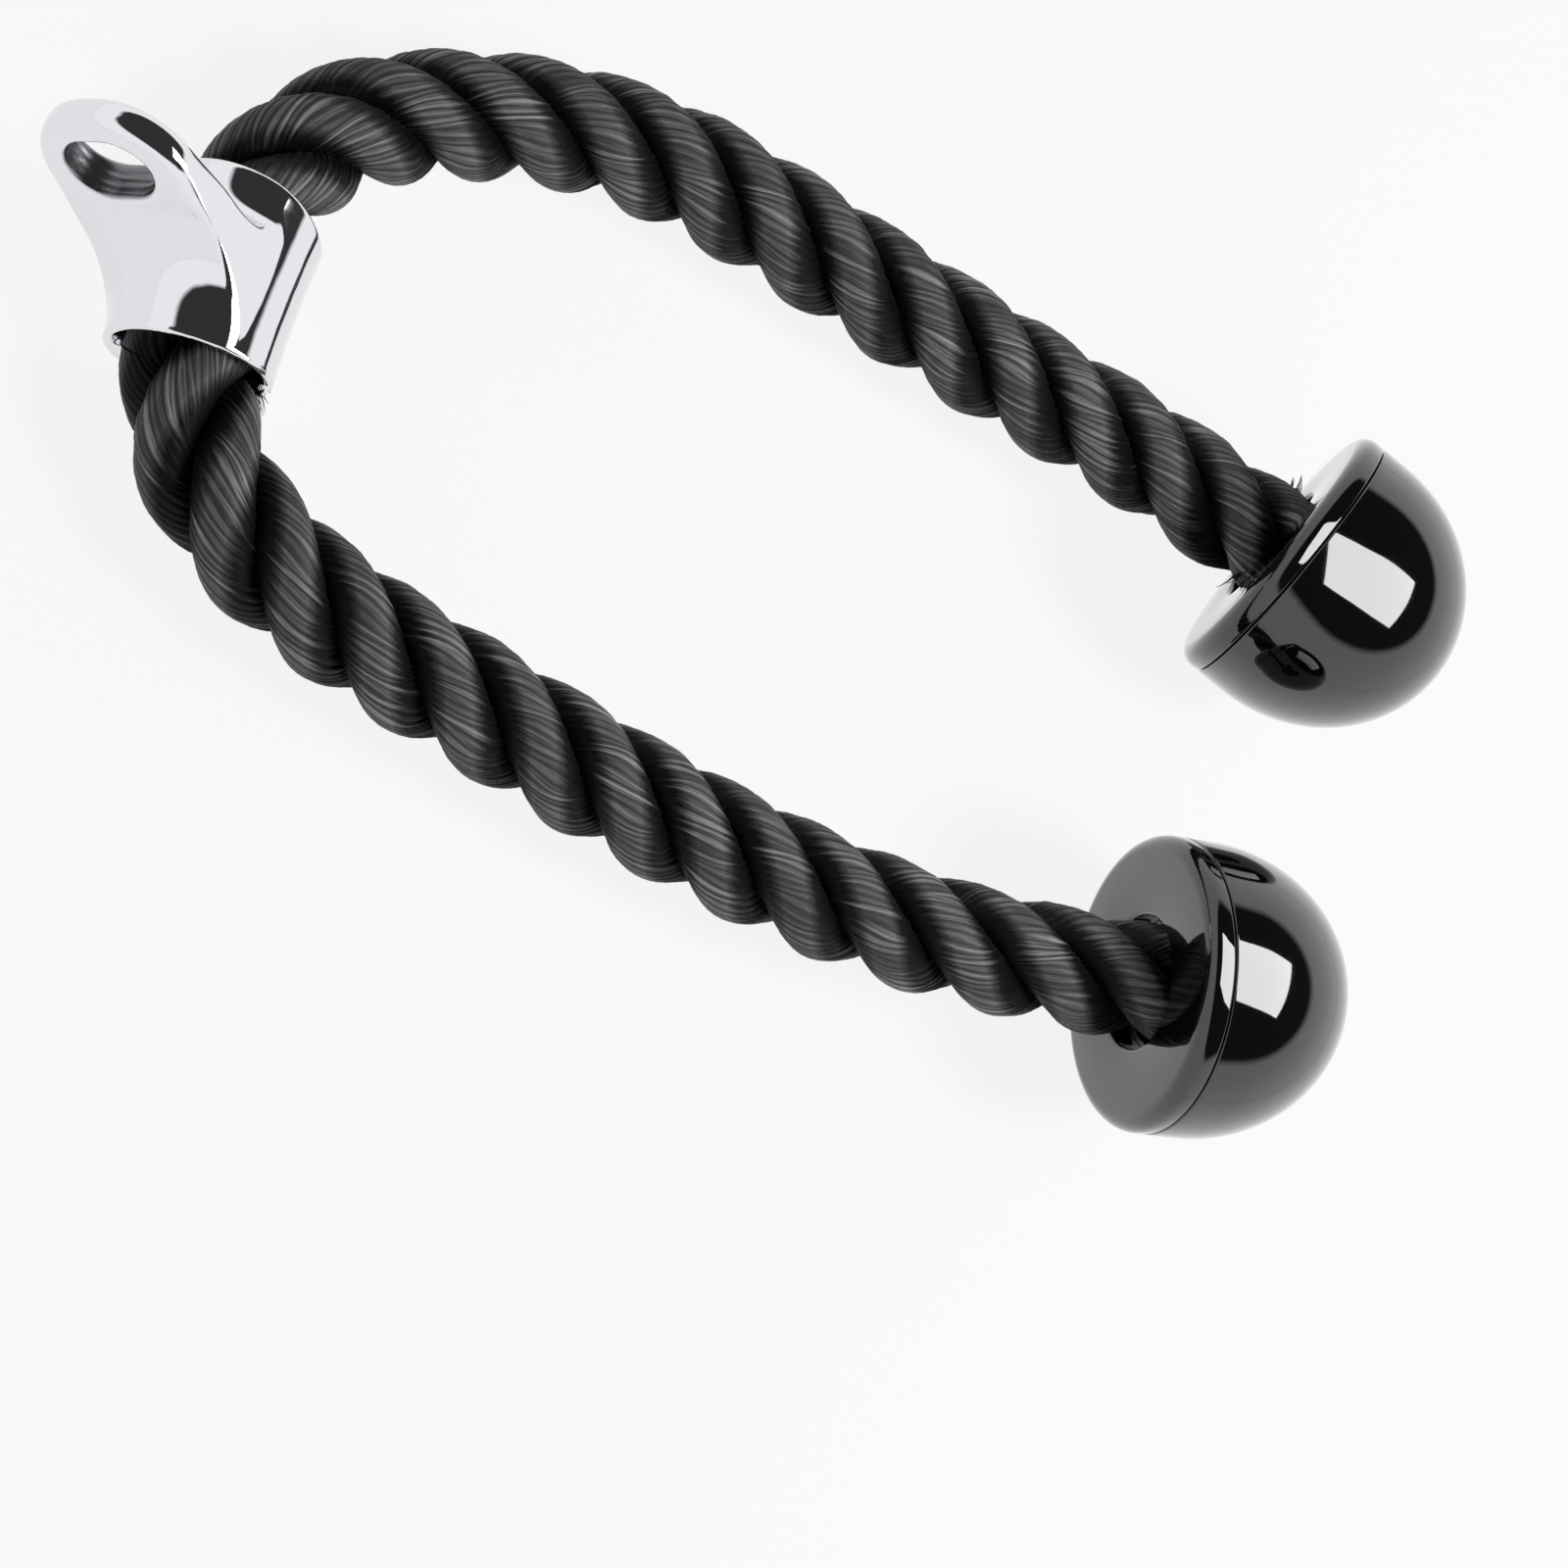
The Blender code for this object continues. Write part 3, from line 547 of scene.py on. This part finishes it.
def turned_surface(name, profile, mouth, way, steps=160):
    """A closed profile of radius and height turned about the ball's axis: the point at radius r,
    height h and angle a is the mouth plus h along the axis and r out from it."""
    way = way / np.linalg.norm(way)
    side = np.cross(way, (0, 0, 1))
    side /= np.linalg.norm(side)
    up = np.cross(side, way)
    turn = np.linspace(0, math.tau, steps, endpoint=False)
    ring = np.cos(turn)[:, None] * side + np.sin(turn)[:, None] * up
    profile = np.concatenate([profile, profile[:1]])
    grid = mouth + profile[:, None, 1:] * way + profile[:, None, :1] * ring
    work = bpy.data.objects.new(name, grid_mesh(name, grid, close_ends=False))
    weld = work.modifiers.new("weld", "WELD")
    weld.merge_threshold = 0.000001
    bpy.context.scene.collection.objects.link(work)
    graph = bpy.context.evaluated_depsgraph_get()
    mesh = bpy.data.meshes.new_from_object(work.evaluated_get(graph))
    bpy.data.objects.remove(work)
    mesh.name = name
    mesh.shade_smooth()
    return mesh


# Gloss ABS: moulded in a polished tool, so that it mirrors the lights sharply and pales at the rim.
abs_gloss, tree, shader = new_material("gloss_black_abs")
shader.inputs["Base Color"].default_value = linear("#060607")
shader.inputs["IOR"].default_value = 1.54
shader.inputs["Coat Weight"].default_value = 0.9
shader.inputs["Coat Roughness"].default_value = 0.02
where = add_node(tree, "ShaderNodeTexCoord")
# A slight orange-peel 4 mm across, and faint handling marks in the gloss.
peel = add_node(
    tree, "ShaderNodeTexNoise", links=[("Vector", where.outputs["Object"])],
    Scale=250.0, Detail=1.0,
)
skin = add_node(
    tree, "ShaderNodeBump", links=[("Height", peel.outputs["Fac"])], Strength=0.06, Distance=0.0002,
)
tree.links.new(skin.outputs["Normal"], shader.inputs["Normal"])
marks = add_node(
    tree, "ShaderNodeTexNoise", links=[("Vector", where.outputs["Object"])], Scale=60.0, Detail=5.0,
)
gloss = add_node(
    tree, "ShaderNodeMapRange", links=[("Value", marks.outputs["Fac"])], From_Min=0.3, From_Max=0.8,
)
gloss.inputs["To Min"].default_value = 0.03
gloss.inputs["To Max"].default_value = 0.09
tree.links.new(gloss.outputs["Result"], shader.inputs["Roughness"])

for side_name, end, sign in (("left", rope_at[0], -1), ("right", rope_at[-1], 1)):
    tip, mouth = read(rope_line, np.array([end, end - sign * BALL_TAIL]))
    way = tip - mouth
    plate_profile = np.concatenate([
        curve_arc((PLATE_HOLE_R + HOLE_ROUND, HOLE_ROUND), (HOLE_ROUND, HOLE_ROUND), 180, 270, 6),
        curve_arc((BALL_R - RIM_ROUND, RIM_ROUND), (RIM_ROUND, RIM_ROUND), -90, 0, 10),
        curve_arc(
            (BALL_R - PLATE_ROUND, PLATE_T - PLATE_ROUND), (PLATE_ROUND, PLATE_ROUND), 0, 90, 6,
        ),
        [(SPIGOT_R, PLATE_T)], [(SPIGOT_R, SPIGOT_TOP)],
        [(SPIGOT_INNER_R, SPIGOT_TOP)], [(SPIGOT_INNER_R, PLATE_T)],
        [(PLATE_HOLE_R, PLATE_T)],
    ])
    plate_mesh = turned_surface(f"{side_name}_end_plate", plate_profile, mouth, way)
    shoulder = PLATE_T + DOME_SKIRT
    dome_profile = np.concatenate([
        [(DOME_BORE_R, PLATE_T + DOME_GAP)],
        curve_arc(
            (BALL_R - DOME_ROUND, PLATE_T + DOME_GAP + DOME_ROUND), (DOME_ROUND, DOME_ROUND),
            -90, 0, 5,
        ),
        curve_arc((0, shoulder), (BALL_R, DOME_RISE), 0, 90, 40)[:-1],
        [(POLE_R, shoulder + DOME_RISE)], [(POLE_R, shoulder + DOME_BORE_RISE)],
        curve_arc((0, shoulder), (DOME_BORE_R, DOME_BORE_RISE), 90, 0, 20)[1:],
    ])
    dome_mesh = turned_surface(f"{side_name}_dome_shell", dome_profile, mouth, way)
    for made, node in ((plate_mesh, "ball_plate"), (dome_mesh, "ball_dome")):
        made.set_sharp_from_angle(angle=math.radians(40))
        made.materials.append(abs_gloss)
        piece = bpy.data.objects.new(made.name, made)
        bpy.context.scene.collection.objects.link(piece)
        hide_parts(f"{side_name}_{node}")
        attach(piece, f"{side_name}_ball")


# Frayed fibres: short strays of the same nylon, pushed up round the hole in the left arm's ball
# and out of the clamp's near mouth, where the photo shows them.

def stray_fibres(name, body, bunches, count=30):
    """Tapered fibres. A bunch gives its place along the rope, its way out from the rope's line, how
    far it starts from that line, and the fibres' reach outwards and along the rope."""
    chance = np.random.default_rng(31)
    points, faces = [], []
    along = np.linspace(0, 1, 6)[:, None]
    for place, way_out, start_at, out_reach, run in bunches:
        centre = read(rope_line, np.array([place]))[0]
        ahead = read(rope_ahead, np.array([place]))[0]
        way_out = np.array(way_out) - ahead * np.dot(way_out, ahead)
        way_out /= np.linalg.norm(way_out)
        beside = np.cross(ahead, way_out)
        for fibre in range(count):
            swing = chance.uniform(-0.35, 0.35)
            spoke = math.cos(swing) * way_out + math.sin(swing) * beside
            root = centre + spoke * start_at + ahead * chance.uniform(-0.0012, 0.0012)
            reach, pull = out_reach * chance.uniform(0.4, 1.0), run * chance.uniform(0.3, 1.0)
            curl = beside * chance.uniform(-0.0016, 0.0016)
            line = root + spoke * reach * along + ahead * pull * along**2 + curl * along**2
            thick = 0.00038 * (1 - 0.8 * along)
            first = len(points)
            for k in range(3):
                turn = math.tau * k / 3
                corner_way = math.cos(turn) * beside + math.sin(turn) * ahead
                points += (line + thick * corner_way).tolist()
            rows = len(along)
            for k in range(3):
                here, there = first + k * rows, first + (k + 1) % 3 * rows
                faces += [
                    (here + r, there + r, there + r + 1, here + r + 1) for r in range(rows - 1)
                ]
            faces += [
                tuple(first + k * rows for k in (2, 1, 0)),
                tuple(first + k * rows + rows - 1 for k in range(3)),
            ]
    fibre_mesh = bpy.data.meshes.new(name)
    fibre_mesh.from_pydata(points, [], faces)
    fibre_mesh.shade_smooth()
    fibre_mesh.materials.append(nylon)
    tuft = bpy.data.objects.new(name, fibre_mesh)
    bpy.context.scene.collection.objects.link(tuft)
    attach(tuft, body)


left_hole = rope_at[0] + BALL_TAIL + 0.0015
stray_fibres("left_hole_fray", "left_arm", [
    (left_hole, (0.3, 1, 0.4), 0.0105, 0.0072, 0.0030),
    (left_hole, (-0.2, -1, 0.1), 0.0105, 0.0062, 0.0020),
])
stray_fibres("clamp_mouth_fray", "clamp", [(0.0188, (1, 0, 0.1), 0.0125, 0.0042, 0.0075)])


# Washers and ferrules: zinc-plated steel, crimped on the rope inside the balls. They carry the
# pull from the ball to the rope, and are out of sight.
zinc, tree, shader = new_material("zinc_plated_steel")
shader.inputs["Base Color"].default_value = linear("#b9bbbf")
shader.inputs["Metallic"].default_value = 1.0
where = add_node(tree, "ShaderNodeTexCoord")
# Plating grain about 1 mm across.
grain = add_node(
    tree, "ShaderNodeTexNoise", links=[("Vector", where.outputs["Object"])],
    Scale=900.0, Detail=3.0,
)
dull = add_node(tree, "ShaderNodeMapRange", links=[("Value", grain.outputs["Fac"])])
dull.inputs["To Min"].default_value = 0.28
dull.inputs["To Max"].default_value = 0.48
tree.links.new(dull.outputs["Result"], shader.inputs["Roughness"])
for side_name in ("left", "right"):
    for node in ("end_washer", "end_ferrule"):
        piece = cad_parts[f"{side_name}_{node}"]
        piece.data.materials.clear()
        piece.data.materials.append(zinc)


# Studio: white paper underneath, which stays white in the picture and in the chrome and keeps a
# part of the object's shadow, a white-walled room, and two soft boxes overhead.
FLOOR_PLAIN_SHARE = 0.87
MIX_FIRST, MIX_SECOND, MIX_OUT = 6, 7, 2
floor_mesh = bpy.data.meshes.new("floor")
floor_mesh.from_pydata([(-6, -6, 0), (6, -6, 0), (6, 6, 0), (-6, 6, 0)], [], [(0, 1, 2, 3)])
floor = bpy.data.objects.new("floor", floor_mesh)
floor.location.z = -0.0004
bpy.context.scene.collection.objects.link(floor)
paper, tree, shader = new_material("white_paper_floor")
shader.inputs["Base Color"].default_value = linear("#dcdcdc")
shader.inputs["Roughness"].default_value = 0.9
plain_white = add_node(tree, "ShaderNodeEmission", Strength=1.0)
ray = add_node(tree, "ShaderNodeLightPath")
either = add_node(
    tree, "ShaderNodeMath",
    links=[(0, ray.outputs["Is Camera Ray"]), (1, ray.outputs["Is Glossy Ray"])],
    operation="MAXIMUM",
)
any_of = add_node(
    tree, "ShaderNodeMath",
    links=[(0, either.outputs["Value"]), (1, ray.outputs["Is Transmission Ray"])],
    operation="MAXIMUM",
)
seen = add_node(tree, "ShaderNodeMath", links=[(0, any_of.outputs["Value"])], operation="MULTIPLY")
seen.inputs[1].default_value = FLOOR_PLAIN_SHARE
blend = add_node(
    tree, "ShaderNodeMixShader",
    links=[
        (0, seen.outputs["Value"]),
        (1, shader.outputs["BSDF"]),
        (2, plain_white.outputs["Emission"]),
    ],
)
tree.links.new(blend.outputs["Shader"], tree.nodes["Material Output"].inputs["Surface"])
floor_mesh.materials.append(paper)

# The room: white walls all round, up to 31 degrees above the horizon, under a dark ceiling. The
# camera, the gloss and the chrome all see the same room. Z is the sine of a direction's height.
world = bpy.data.worlds.new("studio_room")
bpy.context.scene.world = world
world.use_nodes = True
tree = world.node_tree
away = add_node(tree, "ShaderNodeTexCoord")
parts = add_node(tree, "ShaderNodeSeparateXYZ", links=[("Vector", away.outputs["Generated"])])
wall = add_node(
    tree, "ShaderNodeMapRange", links=[("Value", parts.outputs["Z"])], From_Min=0.56, From_Max=0.48,
)
room = add_node(tree, "ShaderNodeMix", links=[("Factor", wall.outputs["Result"])], data_type="RGBA")
room.inputs[MIX_FIRST].default_value = (0.035, 0.035, 0.036, 1)
room.inputs[MIX_SECOND].default_value = (1, 1, 1, 1)
tree.links.new(room.outputs[MIX_OUT], tree.nodes["Background"].inputs["Color"])
tree.nodes["Background"].inputs["Strength"].default_value = 1.0


def soft_box(name, at, aim, size, power):
    """A rectangular area light at a place, turned towards a point."""
    lamp = bpy.data.lights.new(name, "AREA")
    lamp.shape = "RECTANGLE"
    lamp.size, lamp.size_y = size
    lamp.energy = power
    made = bpy.data.objects.new(name, lamp)
    made.visible_glossy = False
    bpy.context.scene.collection.objects.link(made)
    way = np.array(aim, float) - np.array(at, float)
    way /= np.linalg.norm(way)
    side = np.cross(way, (0, 0, 1))
    side /= np.linalg.norm(side)
    up = np.cross(side, way)
    made.matrix_world = Matrix((
        (side[0], up[0], -way[0], at[0]), (side[1], up[1], -way[1], at[1]),
        (side[2], up[2], -way[2], at[2]), (0, 0, 0, 1),
    ))


def mirror_card(name, corners, strength):
    """A plain soft box that only the gloss and the chrome mirror. It gives no other light, throws
    no shadow and isn't seen itself."""
    card_mesh = bpy.data.meshes.new(name)
    card_mesh.from_pydata(corners, [], [range(len(corners))])
    card = bpy.data.objects.new(name, card_mesh)
    bpy.context.scene.collection.objects.link(card)
    surface, tree, shader = new_material(name)
    glow = add_node(tree, "ShaderNodeEmission", Strength=strength)
    tree.links.new(glow.outputs["Emission"], tree.nodes["Material Output"].inputs["Surface"])
    card_mesh.materials.append(surface)
    card.visible_camera = card.visible_diffuse = card.visible_shadow = False
    card.visible_transmission = card.visible_volume_scatter = False


soft_box("key_box", (0.66, -0.08, 1.0), (0, 0, 0), (0.35, 0.35), 10)
mirror_card(
    "overhead_box",
    [(0.33, 0.11, 0.33), (0.33, -0.11, 0.33), (0.0, -0.11, 0.33), (0.0, 0.11, 0.33)], 9,
)
